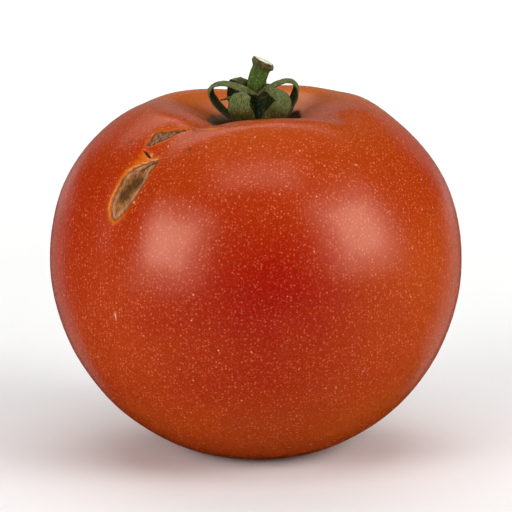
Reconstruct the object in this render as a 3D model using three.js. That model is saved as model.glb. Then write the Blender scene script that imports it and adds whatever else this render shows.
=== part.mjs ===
// A slicing tomato with its calyx: one lobed fruit, the stem stub standing in
// the hollow of its crown, and six curled sepals around the stem.
// Millimetres, +Z up. The fruit rests on a small flat spot at z = 0 and its
// front is towards -Y.
import * as THREE from 'three';

// ------------------------------------------------------------------ fruit
const FRUIT_COLUMNS = 72;          // corners around
const FRUIT_RINGS = 38;            // rings from the hollow to the flat spot
// Control polygon (radius, height) of the meridian, a uniform cubic B-spline:
// floor of the hollow, its wall and crest, shoulder, belly, foot, flat spot.
const MERIDIAN = [
  [-5.0, 70.2], [0.0, 70.2], [5.0, 70.2], [10.0, 71.4], [15.5, 74.2],
  [20.95, 75.35], [25.2, 74.4], [34.45, 67.25], [42.3, 56.1],
  [45.0, 38.8], [39.95, 20.6], [28.3, 6.5],
  [15.5, 0.0], [10.0, 0.0], [5.0, 0.0], [0.0, 0.0], [-5.0, 0.0],
];
const T_FLAT = 12;                 // spline parameter where the flat spot begins
// Furrows between the lobes: angle at the crest, bend towards the hollow, bend
// down the side (degrees), depth at the crest, depth on the side, half width
// (mm), spline parameters where it starts and ends fading.
const FURROWS = [
  [236.0, 0.0, -11.0, 2.1, 1.15, 3.2, 6.6, 8.9],
  [323.0, -15.0, 4.0, 1.25, 0.35, 3.4, 4.9, 6.6],
  [42.0, 6.0, 0.0, 0.95, 0.40, 4.0, 5.2, 7.6],
  [102.0, 0.0, 4.0, 0.70, 0.30, 4.0, 5.0, 7.4],
  [163.0, -4.0, 5.0, 1.00, 0.50, 3.8, 5.4, 7.8],
];
const CROWN_TILT = -0.10;          // rise of the crown towards +X, mm at 22 mm out
const LEAN = [                     // sideways swelling: amount, place, spread
  [-0.27, 5.9, 1.0], [0.12, 7.9, 1.1], [0.31, 9.9, 0.9],
];
const BACK_SWELL = [1.05, 47, 0.42, 4.4, 1.2];   // amount, angle, spread, place, spread

// ------------------------------------------------------------------- stem
const STEM_CORNERS = 24;
// Rings up the stub: x, z of the centre, lean of the ring (degrees), radius.
const STEM_RINGS = [
  [0.00, 70.65, 0, 1.60], [0.00, 70.95, 0, 1.95], [0.00, 72.0, 0, 1.92],
  [0.00, 74.0, 0, 1.92], [0.00, 76.0, 1, 2.00], [0.00, 78.0, 3, 2.08],
  [0.05, 80.0, 7, 2.08], [0.30, 81.1, 12, 2.00], [0.55, 81.9, 15, 1.90],
  [0.92, 82.8, 19, 1.90], [1.22, 83.5, 22, 2.08], [1.42, 83.95, 25, 2.38],
  [1.60, 84.40, 26, 2.45], [1.67, 84.60, 26, 2.30],
];

// ----------------------------------------------------------------- sepals
const SEPAL_THICK = 0.62;          // mm along the middle
const SEPAL_CUP = 0.35;            // rise of the edges over the middle, mm
const SEPAL_STEPS = 2;             // stations between two rows
// Rows from the base to the tip: x, y, z of the midrib, direction across the
// blade (x, y, z), full width.
const SEPALS = {
  sepal_left: [
    [-2.52, 0.10, 71.30, 0.0, -1.0, 0.0, 1.7],
    [-4.20, 0.35, 71.25, -0.12, -1.0, 0.0, 2.9],
    [-6.20, 0.65, 71.75, -0.22, -0.95, 0.0, 4.0],
    [-8.10, 0.85, 73.00, -0.30, -0.92, 0.0, 4.6],
    [-9.80, 0.85, 75.20, -0.30, -0.92, -0.05, 4.7],
    [-10.35, 0.50, 76.90, -0.28, -0.95, 0.0, 4.4],
    [-9.85, 0.05, 78.40, -0.15, -1.0, 0.0, 4.0],
    [-8.50, -0.50, 79.60, 0.05, -0.97, -0.2, 3.5],
    [-6.60, -1.20, 80.05, 0.10, -0.9, -0.4, 3.0],
    [-4.30, -2.10, 79.55, 0.10, -0.8, -0.55, 2.5],
    [-2.20, -2.95, 78.80, 0.10, -0.75, -0.62, 1.9],
    [-0.50, -3.35, 78.10, 0.10, -0.75, -0.62, 1.1],
    [0.10, -3.40, 77.80, 0.10, -0.75, -0.62, 0.5],
  ],
  sepal_front_left: [
    [-1.05, -2.30, 71.30, 0.914, -0.407, 0.0, 1.8],
    [-1.75, -3.90, 71.25, 0.914, -0.407, 0.0, 3.6],
    [-2.45, -5.60, 71.85, 0.914, -0.407, 0.0, 5.2],
    [-2.75, -6.75, 73.40, 0.930, -0.370, 0.0, 5.8],
    [-2.75, -7.10, 75.20, 0.950, -0.300, 0.0, 5.8],
    [-2.55, -6.95, 76.90, 0.960, -0.250, -0.08, 5.2],
    [-2.30, -6.40, 78.10, 0.960, -0.200, -0.15, 4.4],
    [-2.10, -5.65, 78.55, 0.960, -0.150, -0.15, 3.4],
    [-2.05, -5.00, 78.20, 0.960, -0.150, -0.15, 2.3],
    [-2.10, -4.75, 77.40, 0.960, -0.150, -0.15, 1.2],
    [-2.15, -4.75, 76.90, 0.960, -0.150, -0.15, 0.5],
  ],
  sepal_front_right: [
    [1.25, -2.20, 71.30, 0.866, 0.5, 0.0, 1.8],
    [2.15, -3.75, 71.25, 0.866, 0.5, 0.0, 3.2],
    [3.20, -5.10, 71.80, 0.866, 0.5, 0.0, 4.4],
    [4.25, -5.95, 73.00, 0.850, 0.52, 0.0, 4.8],
    [5.25, -6.15, 74.60, 0.800, 0.58, 0.0, 4.6],
    [5.80, -5.90, 76.20, 0.780, 0.60, 0.1, 4.2],
    [5.45, -5.25, 77.60, 0.780, 0.50, 0.3, 3.7],
    [4.55, -4.45, 78.55, 0.740, 0.45, 0.4, 3.0],
    [3.60, -3.75, 79.15, 0.700, 0.45, 0.45, 2.0],
    [2.85, -3.25, 79.45, 0.700, 0.45, 0.45, 0.6],
  ],
  sepal_right: [
    [2.48, 0.65, 71.30, -0.25, 0.95, 0.0, 1.8],
    [4.10, 1.05, 71.30, -0.25, 0.95, 0.0, 3.2],
    [6.10, 1.40, 72.10, -0.28, 0.95, 0.0, 4.2],
    [8.00, 1.60, 73.85, -0.30, 0.95, 0.0, 4.4],
    [9.20, 1.70, 75.75, -0.30, 0.95, 0.0, 4.3],
    [9.60, 1.70, 77.30, -0.28, 0.95, 0.0, 4.1],
    [9.05, 1.60, 78.80, -0.20, 0.97, 0.0, 3.7],
    [7.85, 1.45, 79.95, -0.10, 0.98, 0.1, 3.3],
    [6.30, 1.20, 80.40, 0.00, 0.98, 0.15, 2.8],
    [4.80, 0.85, 79.95, 0.05, 0.98, 0.15, 2.2],
    [3.70, 0.40, 79.20, 0.05, 0.98, 0.15, 1.3],
    [3.20, 0.10, 78.70, 0.05, 0.98, 0.15, 0.5],
  ],
  sepal_back_right: [
    [0.85, 2.38, 71.30, -0.94, 0.342, 0.0, 1.8],
    [1.45, 3.95, 71.25, -0.94, 0.342, 0.0, 3.4],
    [2.00, 5.45, 72.00, -0.94, 0.342, 0.0, 4.4],
    [2.35, 6.35, 73.70, -0.94, 0.342, 0.0, 4.7],
    [2.50, 6.55, 75.60, -0.95, 0.300, 0.0, 4.6],
    [2.65, 6.05, 77.30, -0.96, 0.280, 0.0, 4.0],
    [2.70, 5.10, 78.45, -0.96, 0.280, 0.0, 3.2],
    [2.65, 4.05, 78.60, -0.96, 0.280, 0.0, 2.2],
    [2.55, 3.35, 77.95, -0.96, 0.280, 0.0, 1.1],
    [2.50, 3.20, 77.50, -0.96, 0.280, 0.0, 0.5],
  ],
  sepal_back_left: [
    [-1.42, 2.08, 71.30, -0.830, -0.560, 0.0, 1.6],
    [-2.40, 3.40, 71.25, -0.830, -0.560, 0.0, 2.9],
    [-3.60, 4.75, 72.00, -0.830, -0.560, 0.0, 4.1],
    [-4.60, 5.45, 73.70, -0.840, -0.540, 0.0, 4.9],
    [-5.05, 5.60, 75.70, -0.850, -0.530, 0.0, 5.2],
    [-4.95, 5.35, 77.60, -0.860, -0.500, 0.0, 4.9],
    [-4.45, 4.75, 79.05, -0.860, -0.500, 0.05, 4.3],
    [-3.75, 3.95, 79.70, -0.860, -0.500, 0.05, 3.4],
    [-3.05, 3.25, 79.35, -0.860, -0.500, 0.05, 2.3],
    [-2.60, 2.95, 78.60, -0.860, -0.500, 0.05, 1.2],
    [-2.50, 2.90, 78.15, -0.860, -0.500, 0.05, 0.5],
  ],
};

// --------------------------------------------------------------- helpers
const rad = (d) => (d * Math.PI) / 180;
const clamp01 = (x) => Math.min(1, Math.max(0, x));
const smooth = (a, b, x) => { const t = clamp01((x - a) / (b - a)); return t * t * (3 - 2 * t); };
const bell = (x) => Math.exp(-0.5 * x * x);
const wrap = (a) => a - 2 * Math.PI * Math.floor((a + Math.PI) / (2 * Math.PI));

function meridian(t) {
  const i = Math.min(MERIDIAN.length - 4, Math.max(0, Math.floor(t)));
  const u = t - i;
  const b = [(1 - u) ** 3 / 6, (3 * u ** 3 - 6 * u * u + 4) / 6,
    (-3 * u ** 3 + 3 * u * u + 3 * u + 1) / 6, u ** 3 / 6];
  const d = [-((1 - u) ** 2) / 2, (9 * u * u - 12 * u) / 6,
    (-9 * u * u + 6 * u + 3) / 6, (u * u) / 2];
  let r = 0, z = 0, tr = 0, tz = 0;
  for (let k = 0; k < 4; k++) {
    const [cr, cz] = MERIDIAN[i + k];
    r += b[k] * cr; z += b[k] * cz; tr += d[k] * cr; tz += d[k] * cz;
  }
  const l = Math.hypot(tr, tz);
  return { r, z, nr: -tz / l, nz: tr / l };
}

// How far the skin stands out from the plain turned shape, mm.
function swell(a, t, r) {
  let h = 0;
  const inner = smooth(0.6, 2.6, t);
  for (const [a0, b1, b2, d1, d2, w, f0, f1] of FURROWS) {
    const c = rad(a0 + b1 * (1 - smooth(1.6, 3.4, t)) + b2 * smooth(4.2, 7.2, t));
    const d = wrap(a - c);
    const depth = (d1 + (d2 - d1) * smooth(4.0, 5.6, t)) * inner * (1 - smooth(f0, f1, t));
    const x = d * Math.max(r, 6);
    const wide = w * (1 + 0.10 * Math.min(9, Math.max(0, t - 4)));
    h -= depth * (0.72 * bell(x / wide) + 0.28 * bell(d / 0.36));
  }
  const side = smooth(3.0, 6.5, t) * (1 - smooth(9.5, 11.2, t));
  h += side * (0.21 * Math.cos(4 * (a - rad(279))) + 0.25 * Math.cos(2 * (a - rad(200)))
    + 0.22 * Math.cos(3 * (a - rad(30))));
  for (const [amount, place, spread] of LEAN) h += amount * Math.cos(a) * bell((t - place) / spread);
  h += BACK_SWELL[0] * bell(wrap(a - rad(BACK_SWELL[1])) / BACK_SWELL[2])
    * bell((t - BACK_SWELL[3]) / BACK_SWELL[4]);
  return h * (1 - smooth(11.2, T_FLAT, t));
}

function skin(a, t) {
  const m = meridian(t);
  const h = swell(a, t, m.r);
  const r = Math.max(0, m.r + m.nr * h);
  const x = r * Math.cos(a), y = r * Math.sin(a);
  const z = m.z + m.nz * h;
  return [x, y, z + CROWN_TILT * smooth(30, 75, z) * x / 22];
}

// A closed solid from rings of equal count, a point or a cap at either end.
function ringsToSolid(rings, start, end) {
  const n = rings[0].length;
  const pos = [];
  for (const ring of rings) for (const p of ring) pos.push(...p);
  const s = pos.length / 3; pos.push(...start);
  const e = pos.length / 3; pos.push(...end);
  const idx = [];
  for (let j = 0; j < n; j++) {
    const k = (j + 1) % n;
    idx.push(s, k, j);
    for (let i = 0; i < rings.length - 1; i++) {
      const a = i * n + j, b = i * n + k, c = a + n, d = b + n;
      idx.push(a, b, d, a, d, c);
    }
    const l = (rings.length - 1) * n;
    idx.push(e, l + j, l + k);
  }
  const g = new THREE.BufferGeometry();
  g.setAttribute('position', new THREE.Float32BufferAttribute(pos, 3));
  g.setIndex(idx);
  g.computeVertexNormals();
  return g;
}

function fruitGeometry() {
  const rings = [];
  for (let i = 1; i <= FRUIT_RINGS; i++) {
    const t = T_FLAT * (i / FRUIT_RINGS);
    const ring = [];
    for (let j = 0; j < FRUIT_COLUMNS; j++) {
      ring.push(skin(-2 * Math.PI * j / FRUIT_COLUMNS, t));   // clockwise from above
    }
    rings.push(ring);
  }
  return ringsToSolid(rings, skin(0, 0), [0, 0, 0]);
}

function stemGeometry() {
  const rings = STEM_RINGS.map(([x, z, lean, r]) => {
    const c = Math.cos(rad(lean)), s = Math.sin(rad(lean));
    const ring = [];
    for (let j = 0; j < STEM_CORNERS; j++) {
      const a = 2 * Math.PI * j / STEM_CORNERS;
      const u = r * Math.cos(a), v = r * Math.sin(a);
      ring.push([x + u * c, v, z - u * s]);
    }
    return ring;
  });
  const [x0, z0] = STEM_RINGS[0];
  const [x1, z1] = STEM_RINGS[STEM_RINGS.length - 1];
  return ringsToSolid(rings, [x0, 0, z0], [x1, 0, z1]);
}

function sepalGeometry(rows) {
  const stations = [];
  const last = rows.length - 1;
  for (let i = 0; i < last; i++) {
    const p = [rows[Math.max(0, i - 1)], rows[i], rows[i + 1], rows[Math.min(last, i + 2)]];
    const n = i === last - 1 ? SEPAL_STEPS + 1 : SEPAL_STEPS;
    for (let q = 0; q < n; q++) {
      const u = q / SEPAL_STEPS;
      stations.push(rows[0].map((_, k) => 0.5 * (2 * p[1][k] + (p[2][k] - p[0][k]) * u
        + (2 * p[0][k] - 5 * p[1][k] + 4 * p[2][k] - p[3][k]) * u * u
        + (3 * p[1][k] - p[0][k] - 3 * p[2][k] + p[3][k]) * u * u * u)));
    }
  }
  const at = stations.map((s) => new THREE.Vector3(s[0], s[1], s[2]));
  const rings = stations.map((s, i) => {
    const t = at[Math.min(at.length - 1, i + 1)].clone().sub(at[Math.max(0, i - 1)]).normalize();
    const across = new THREE.Vector3(s[3], s[4], s[5]);
    across.addScaledVector(t, -across.dot(t)).normalize();
    const up = new THREE.Vector3().crossVectors(t, across);
    const w = s[6] / 2;
    const f = Math.min(1, w / 1.2);
    const ring = [];
    const put = (v, side) => {
      const n = SEPAL_CUP * f * v * v + side * 0.5 * SEPAL_THICK * (0.55 + 0.45 * f) * (1 - 0.55 * v * v);
      ring.push(at[i].clone().addScaledVector(across, v * w).addScaledVector(up, n).toArray());
    };
    for (const v of [-1, -0.5, 0, 0.5, 1]) put(v, -1);
    for (const v of [1, 0.5, 0, -0.5, -1]) put(v, 1);
    return ring;
  });
  const mid = (ring) => ring.reduce((m, p) => m.map((v, k) => v + p[k] / ring.length), [0, 0, 0]);
  return ringsToSolid(rings, mid(rings[0]), mid(rings[rings.length - 1]));
}

// ----------------------------------------------------------------- object
const tomato = new THREE.Group();
tomato.name = 'tomato';

function add(name, geometry, color) {
  const mesh = new THREE.Mesh(geometry, new THREE.MeshStandardMaterial({ color, roughness: 0.5 }));
  mesh.name = name;
  tomato.add(mesh);
}

add('fruit', fruitGeometry(), 0xb8391a);
add('stem', stemGeometry(), 0x4f6a2c);
for (const [name, rows] of Object.entries(SEPALS)) add(name, sepalGeometry(rows), 0x4c5c32);

export default tomato;
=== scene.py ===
import math

import bpy
import numpy as np
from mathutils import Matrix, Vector


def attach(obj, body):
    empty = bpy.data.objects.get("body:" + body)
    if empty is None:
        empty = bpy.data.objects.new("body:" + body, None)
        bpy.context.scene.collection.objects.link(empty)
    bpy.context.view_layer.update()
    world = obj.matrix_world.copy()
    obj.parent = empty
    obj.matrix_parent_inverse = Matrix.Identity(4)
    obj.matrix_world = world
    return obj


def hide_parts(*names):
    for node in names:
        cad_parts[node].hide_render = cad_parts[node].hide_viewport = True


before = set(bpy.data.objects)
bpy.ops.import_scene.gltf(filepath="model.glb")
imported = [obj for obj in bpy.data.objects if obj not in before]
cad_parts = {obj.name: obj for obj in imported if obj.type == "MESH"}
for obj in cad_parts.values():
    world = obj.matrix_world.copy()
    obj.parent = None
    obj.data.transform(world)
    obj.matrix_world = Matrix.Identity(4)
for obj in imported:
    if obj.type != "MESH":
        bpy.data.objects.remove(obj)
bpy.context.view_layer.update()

# A slicing tomato: lobed red fruit with cork scars on its front left shoulder,
# a cut stem stub and six curled sepals. Metres in Blender, millimetres here.
MM = 0.001
rad = math.radians

# ------------------------------------------------------------------ helpers


def sst(a, b, x):
    t = np.clip((np.asarray(x, float) - a) / (b - a), 0.0, 1.0)
    return t * t * (3 - 2 * t)


def bell(x):
    return np.exp(-0.5 * np.asarray(x, float) ** 2)


def wrap(a):
    return (a + np.pi) % (2 * np.pi) - np.pi


def lattice(ix, iy, iz, seed):
    h = (ix.astype(np.int64) * 374761393 + iy.astype(np.int64) * 668265263
         + iz.astype(np.int64) * 2147483647 + seed * 1274126177) & 0xFFFFFFFF
    h = ((h ^ (h >> 13)) * 1274126177) & 0xFFFFFFFF
    h = ((h ^ (h >> 16)) * 2246822519) & 0xFFFFFFFF
    h = h ^ (h >> 15)
    return (h & 0xFFFFFF) / float(0xFFFFFF) * 2 - 1


def noise(P, scale, seed=0):
    """Smooth value noise from -1 to 1; scale is the size of a feature."""
    Q = np.asarray(P, float) / scale
    i = np.floor(Q).astype(np.int64)
    f = Q - i
    f = f * f * f * (f * (f * 6 - 15) + 10)
    out = 0
    for dx in (0, 1):
        for dy in (0, 1):
            for dz in (0, 1):
                w = ((f[..., 0] if dx else 1 - f[..., 0]) * (f[..., 1] if dy else 1 - f[..., 1])
                     * (f[..., 2] if dz else 1 - f[..., 2]))
                out = out + w * lattice(i[..., 0] + dx, i[..., 1] + dy, i[..., 2] + dz, seed)
    return out


def fbm(P, scale, seed=0, octaves=3):
    out, amp, total = 0, 1.0, 0.0
    for k in range(octaves):
        out = out + amp * noise(P, scale / 2 ** k, seed + 17 * k)
        total += amp
        amp *= 0.5
    return out / total


def build(name, verts, faces, attrs=None, uv=None, body="root", stands_for=(), material=None):
    """A smooth mesh from millimetre vertices, with float or vector attributes per vertex."""
    mesh = bpy.data.meshes.new(name)
    v = np.asarray(verts, np.float32) * MM
    mesh.vertices.add(len(v))
    mesh.vertices.foreach_set("co", v.ravel())
    sizes = np.array([len(f) for f in faces], np.int32)
    loops = np.concatenate([np.asarray(f, np.int32) for f in faces]) if not isinstance(faces, np.ndarray) else faces.ravel().astype(np.int32)
    mesh.loops.add(len(loops))
    mesh.loops.foreach_set("vertex_index", loops)
    mesh.polygons.add(len(sizes))
    mesh.polygons.foreach_set("loop_start", np.concatenate([[0], np.cumsum(sizes)[:-1]]).astype(np.int32))
    mesh.polygons.foreach_set("use_smooth", np.ones(len(sizes), bool))
    mesh.update(calc_edges=True)
    mesh.validate()
    for key, val in (attrs or {}).items():
        val = np.asarray(val, np.float32)
        if val.ndim == 1:
            a = mesh.attributes.new(key, "FLOAT", "POINT")
            a.data.foreach_set("value", val)
        else:
            a = mesh.attributes.new(key, "FLOAT_VECTOR", "POINT")
            a.data.foreach_set("vector", val.ravel())
    if uv is not None:
        layer = mesh.uv_layers.new(name="OFBake")
        layer.data.foreach_set("uv", np.asarray(uv, np.float32).ravel())
    obj = bpy.data.objects.new(name, mesh)
    bpy.context.scene.collection.objects.link(obj)
    if material is not None:
        mesh.materials.append(material)
    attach(obj, body)
    if stands_for:
        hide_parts(*stands_for)
    return obj


# --------------------------------------------------------------- materials


class Nodes:
    """Short names for building a shader tree."""

    def __init__(self, name):
        self.mat = bpy.data.materials.new(name)
        self.mat.use_nodes = True
        self.t = self.mat.node_tree
        self.t.nodes.clear()
        self.out = self.t.nodes.new("ShaderNodeOutputMaterial")
        self.bsdf = self.t.nodes.new("ShaderNodeBsdfPrincipled")
        self.t.links.new(self.bsdf.outputs[0], self.out.inputs[0])

    def put(self, sock, value):
        if hasattr(value, "is_output") or isinstance(value, bpy.types.NodeSocket):
            self.t.links.new(value, sock)
        else:
            sock.default_value = value

    def attr(self, name, vector=False):
        n = self.t.nodes.new("ShaderNodeAttribute")
        n.attribute_name = name
        return n.outputs["Vector" if vector else "Fac"]

    def obj(self):
        return self.t.nodes.new("ShaderNodeTexCoord").outputs["Object"]

    def math(self, op, a, b=0.0, c=0.0, clamp=False):
        n = self.t.nodes.new("ShaderNodeMath")
        n.operation = op
        n.use_clamp = clamp
        for s, v in zip(n.inputs, (a, b, c)):
            self.put(s, v)
        return n.outputs[0]

    def vmath(self, op, a, b):
        n = self.t.nodes.new("ShaderNodeVectorMath")
        n.operation = op
        self.put(n.inputs[0], a)
        self.put(n.inputs[1], b)
        return n.outputs[0]

    def mix(self, fac, a, b, blend="MIX"):
        n = self.t.nodes.new("ShaderNodeMix")
        n.data_type = "RGBA"
        n.blend_type = blend
        self.put(n.inputs[0], fac)
        self.put(n.inputs[6], a)
        self.put(n.inputs[7], b)
        return n.outputs[2]

    def fmix(self, fac, a, b):
        n = self.t.nodes.new("ShaderNodeMix")
        n.data_type = "FLOAT"
        self.put(n.inputs[0], fac)
        self.put(n.inputs[2], a)
        self.put(n.inputs[3], b)
        return n.outputs[0]

    def ramp(self, x, lo, hi, a=0.0, b=1.0, smooth=True):
        n = self.t.nodes.new("ShaderNodeMapRange")
        n.interpolation_type = "SMOOTHSTEP" if smooth else "LINEAR"
        for s, v in zip(n.inputs[:5], (x, lo, hi, a, b)):
            self.put(s, v)
        return n.outputs[0]

    def noise(self, vec, scale, detail=2.0, rough=0.5, distortion=0.0):
        n = self.t.nodes.new("ShaderNodeTexNoise")
        self.put(n.inputs["Vector"], vec)
        n.inputs["Scale"].default_value = scale
        n.inputs["Detail"].default_value = detail
        n.inputs["Roughness"].default_value = rough
        n.inputs["Distortion"].default_value = distortion
        return n.outputs[0]

    def voronoi(self, vec, scale, jitter=1.0):
        n = self.t.nodes.new("ShaderNodeTexVoronoi")
        self.put(n.inputs["Vector"], vec)
        n.inputs["Scale"].default_value = scale
        n.inputs["Randomness"].default_value = jitter
        s = self.t.nodes.new("ShaderNodeSeparateColor")
        self.t.links.new(n.outputs["Color"], s.inputs[0])
        return n.outputs["Distance"], s.outputs[0], s.outputs[1]

    def bump(self, height, strength, distance, normal=None):
        n = self.t.nodes.new("ShaderNodeBump")
        n.inputs["Strength"].default_value = strength
        n.inputs["Distance"].default_value = distance
        self.put(n.inputs["Height"], height)
        if normal is not None:
            self.put(n.inputs["Normal"], normal)
        return n.outputs[0]

    def set(self, **kw):
        for k, v in kw.items():
            self.put(self.bsdf.inputs[k.replace("_", " ")], v)


def rgb(r, g, b):
    """A display colour as 0 to 255 to a linear shader colour."""
    def lin(c):
        c /= 255.0
        return c / 12.92 if c <= 0.04045 else ((c + 0.055) / 1.055) ** 2.4
    return (lin(r), lin(g), lin(b), 1.0)


def skin_material():
    m = Nodes("tomato_skin")
    co = m.obj()
    ripe = m.attr("ripe")
    patch = m.noise(co, 62.0, 3.0, 0.55)
    fine = m.noise(co, 420.0, 3.0, 0.6)
    k = m.math("ADD", ripe, m.math("MULTIPLY", m.math("SUBTRACT", patch, 0.5), 0.50))
    k = m.math("ADD", k, m.math("MULTIPLY", m.math("SUBTRACT", fine, 0.5), 0.30), clamp=True)
    base = m.mix(k, rgb(162, 47, 2), rgb(146, 2, 0))
    # crown and furrows turn to orange
    base = m.mix(m.attr("orange"), base, rgb(172, 66, 5))
    # painted light: the rear crown is painted a lighter orange where the top and back light falls on it
    base = m.mix(m.attr("rear_painted_light"), base, rgb(196, 98, 22))
    # pale golden dots of two sizes in the skin
    d1, r1, r2 = m.voronoi(co, 1500.0)
    dot1 = m.math("MULTIPLY", m.ramp(d1, 0.44, 0.14), m.ramp(r1, 0.05, 0.9))
    d2, s1, s2 = m.voronoi(co, 2500.0)
    dot2 = m.math("MULTIPLY", m.ramp(d2, 0.50, 0.14), m.ramp(s1, 0.10, 0.9))
    d3, q1, q2 = m.voronoi(co, 400.0)
    dot3 = m.math("MULTIPLY", m.ramp(d3, 0.10, 0.05), m.ramp(q1, 0.30, 0.70))
    quiet = m.math("SUBTRACT", 1.0, m.math("MULTIPLY", k, 0.55))
    base = m.mix(m.math("MULTIPLY", m.math("MULTIPLY", dot2, quiet), 0.52), base, rgb(212, 98, 64))
    base = m.mix(m.math("MULTIPLY", m.math("MULTIPLY", dot1, quiet), 0.64), base, m.mix(r2, rgb(230, 120, 72), rgb(222, 106, 80)))
    base = m.mix(m.math("MULTIPLY", dot3, 0.85), base, rgb(234, 142, 112))
    # halo, cork scar, its dark heart and outline
    grain = m.attr("grain", vector=True)
    base = m.mix(m.math("MULTIPLY", m.attr("red"), 0.75), base, rgb(178, 12, 5))
    base = m.mix(m.attr("halo"), base, rgb(222, 124, 16))
    cork_n = m.noise(m.vmath("MULTIPLY", grain, (3.0, 1.1, 1.0)), 1.0, 5.0, 0.7, 0.4)
    cork_f = m.noise(m.vmath("MULTIPLY", grain, (4.4, 3.4, 1.0)), 1.0, 4.0, 0.65)
    cork = m.mix(m.ramp(cork_n, 0.36, 0.64), rgb(112, 66, 28), rgb(184, 124, 76))
    cork = m.mix(m.math("MULTIPLY", m.ramp(cork_f, 0.50, 0.68), 0.60), cork, rgb(84, 46, 20))
    cork = m.mix(m.attr("grey"), cork, m.mix(m.ramp(cork_n, 0.36, 0.70), rgb(72, 40, 26), rgb(168, 122, 86)))
    heart = m.math("MULTIPLY", m.attr("heart"), m.ramp(cork_f, 0.20, 0.75, 1.0, 0.62))
    cork = m.mix(heart, cork, rgb(50, 32, 6))
    cork = m.mix(m.attr("pink"), cork, rgb(206, 148, 112))
    base = m.mix(m.attr("scar"), base, cork)
    base = m.mix(m.attr("line"), base, rgb(64, 30, 22))
    # brown folds beside the calyx, their near-black partly painted shade of the crevices, freckles, pale nicks
    base = m.mix(m.attr("brown_fold_and_painted_shade"), base, m.mix(m.ramp(cork_f, 0.35, 0.65), rgb(24, 9, 2), rgb(66, 34, 15)))
    base = m.mix(m.attr("streak"), base, rgb(138, 112, 88))
    base = m.mix(m.attr("freckle"), base, rgb(96, 50, 22))
    base = m.mix(m.attr("nick"), base, rgb(232, 190, 160))
    scar = m.math("MAXIMUM", m.attr("scar"), m.attr("brown_fold_and_painted_shade"))
    rough = m.math("ADD", 0.26, m.math("MULTIPLY", m.math("SUBTRACT", fine, 0.5), 0.10))
    rough = m.math("MAXIMUM", rough, m.math("MULTIPLY", scar, 0.78))
    n1 = m.noise(co, 900.0, 2.0, 0.5)
    n2 = m.noise(co, 260.0, 3.0, 0.5)
    h = m.math("ADD", m.math("MULTIPLY", n1, 0.35), m.math("MULTIPLY", n2, 0.9))
    h = m.math("ADD", h, m.math("MULTIPLY", dot1, -0.25))
    h = m.math("ADD", h, m.math("MULTIPLY", m.math("MULTIPLY", cork_n, scar), 2.4))
    h = m.math("ADD", h, m.math("MULTIPLY", m.math("MULTIPLY", cork_f, scar), 1.4))
    nrm = m.bump(h, 0.35, 0.00009)
    m.set(Base_Color=base, Roughness=rough, Normal=nrm,
          Specular_IOR_Level=m.math("SUBTRACT", 0.5, m.math("MULTIPLY", scar, 0.40)))
    m.bsdf.inputs["IOR"].default_value = 1.50
    m.bsdf.inputs["Specular Tint"].default_value = (1.0, 0.64, 0.48, 1.0)
    return m.mat


def leaf_material(name, stem=False):
    m = Nodes(name)
    co = m.obj()
    grain = m.attr("grain", vector=True)      # across, along, side in mm
    veins = m.noise(m.vmath("MULTIPLY", grain, (5.2, 0.85, 1.0)), 1.0, 4.0, 0.6, 0.2)
    mottle = m.noise(co, 900.0, 4.0, 0.6)
    fuzz = m.noise(co, 2500.0, 3.0, 0.7)
    wide = m.noise(co, 260.0, 2.0, 0.5)
    if stem:
        base = m.mix(m.ramp(veins, 0.3, 0.7), rgb(42, 62, 14), rgb(76, 98, 32))
        base = m.mix(m.math("MULTIPLY", m.ramp(mottle, 0.45, 0.75), 0.5), base, rgb(92, 104, 40))
        # painted shade: the low stem down in the hollow is painted dark green
        base = m.mix(m.attr("inner"), base, rgb(18, 38, 3))
    else:
        # painted light: the upper blade is a lighter grey-green as if lit from above; the lower blade is a darker
        # olive, painted shade and painted red bounce light from the fruit
        grey = m.mix(m.ramp(veins, 0.25, 0.78), rgb(50, 60, 24), rgb(118, 126, 74))
        green = m.mix(m.ramp(veins, 0.25, 0.78), rgb(38, 32, 0), rgb(84, 72, 8))
        base = m.mix(m.attr("painted_bounce_and_shade"), grey, green)
        base = m.mix(m.attr("inner"), base, m.mix(m.ramp(veins, 0.3, 0.7), rgb(26, 36, 5), rgb(58, 68, 20)))
        base = m.mix(m.math("MULTIPLY", m.ramp(wide, 0.45, 0.75), 0.25), base, rgb(92, 84, 46))
    base = m.mix(m.attr("brown"), base, m.mix(m.ramp(mottle, 0.35, 0.65), rgb(46, 38, 14), rgb(100, 88, 50)))
    base = m.mix(m.math("MULTIPLY", m.ramp(fuzz, 0.54, 0.72), 0.50), base, rgb(158, 160, 100))
    base = m.mix(m.math("MULTIPLY", m.ramp(fuzz, 0.46, 0.32), 0.50), base, rgb(22, 26, 4))
    base = m.mix(m.attr("shade"), base, rgb(8, 8, 2))
    if stem:
        d, r, g = m.voronoi(m.vmath("MULTIPLY", grain, (3.2, 3.2, 3.2)), 1.0)
        pith = m.mix(m.ramp(mottle, 0.3, 0.7), rgb(222, 224, 186), rgb(246, 246, 226))
        pith = m.mix(m.attr("ring"), pith, rgb(150, 160, 70))
        base = m.mix(m.attr("cut"), base, pith)
    h = m.math("ADD", m.math("MULTIPLY", veins, 1.0), m.math("MULTIPLY", fuzz, 0.8))
    h = m.math("ADD", h, m.math("MULTIPLY", mottle, 0.8))
    m.set(Base_Color=base, Roughness=m.ramp(mottle, 0.2, 0.8, 0.62, 0.85, smooth=False),
          Normal=m.bump(h, 0.8, 0.00010))
    m.bsdf.inputs["Sheen Weight"].default_value = 0.04
    m.bsdf.inputs["Sheen Roughness"].default_value = 0.5
    m.bsdf.inputs["Specular IOR Level"].default_value = 0.14
    return m.mat


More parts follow.
